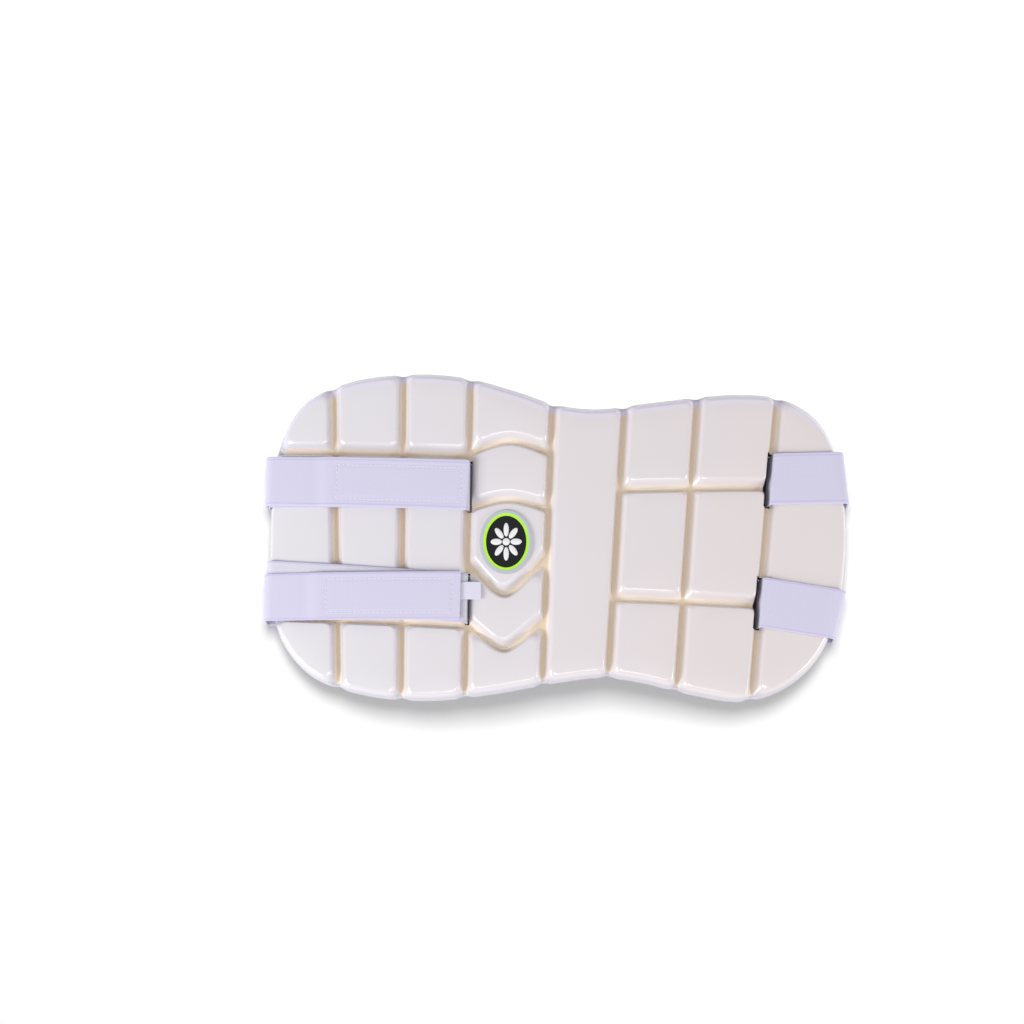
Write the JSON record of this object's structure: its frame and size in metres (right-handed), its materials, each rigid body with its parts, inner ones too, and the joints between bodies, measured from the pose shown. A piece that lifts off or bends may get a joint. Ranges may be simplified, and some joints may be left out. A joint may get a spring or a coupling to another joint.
{
  "type": "chest guard",
  "caption": "Arched moulded chest guard of raised padded blocks parted by grooves, worn with elastic straps that pass through slots and fasten on hook-and-loop strips.",
  "frame": {"origin": "centre of the bounding box's bottom: the level of the straps' undersides, which the guard lies on", "axes": "+X along the guard's length, across the wearer's chest, towards its narrower end; +Y across the guard; +Z out of the padded front"},
  "size_m": [0.3834, 0.2152, 0.0467],
  "materials": {
    "moulded_skin": "satin pearl",
    "elastic": "ribbed weave",
    "loop_pile": "brushed pile",
    "hook_tape": "matte",
    "woven_tab": "fine weave",
    "badge_rubber": "matte"
  },
  "bodies": {
    "root": {"moulded_pad": "moulded_skin", "upper_strap": "elastic", "upper_loop_strip": "loop_pile", "upper_hook_patch": "hook_tape", "lower_strap": "elastic", "lower_loop_strip": "loop_pile", "lower_hook_patch": "hook_tape", "size_tab": "woven_tab", "badge": "badge_rubber"}
  },
  "joints": []
}
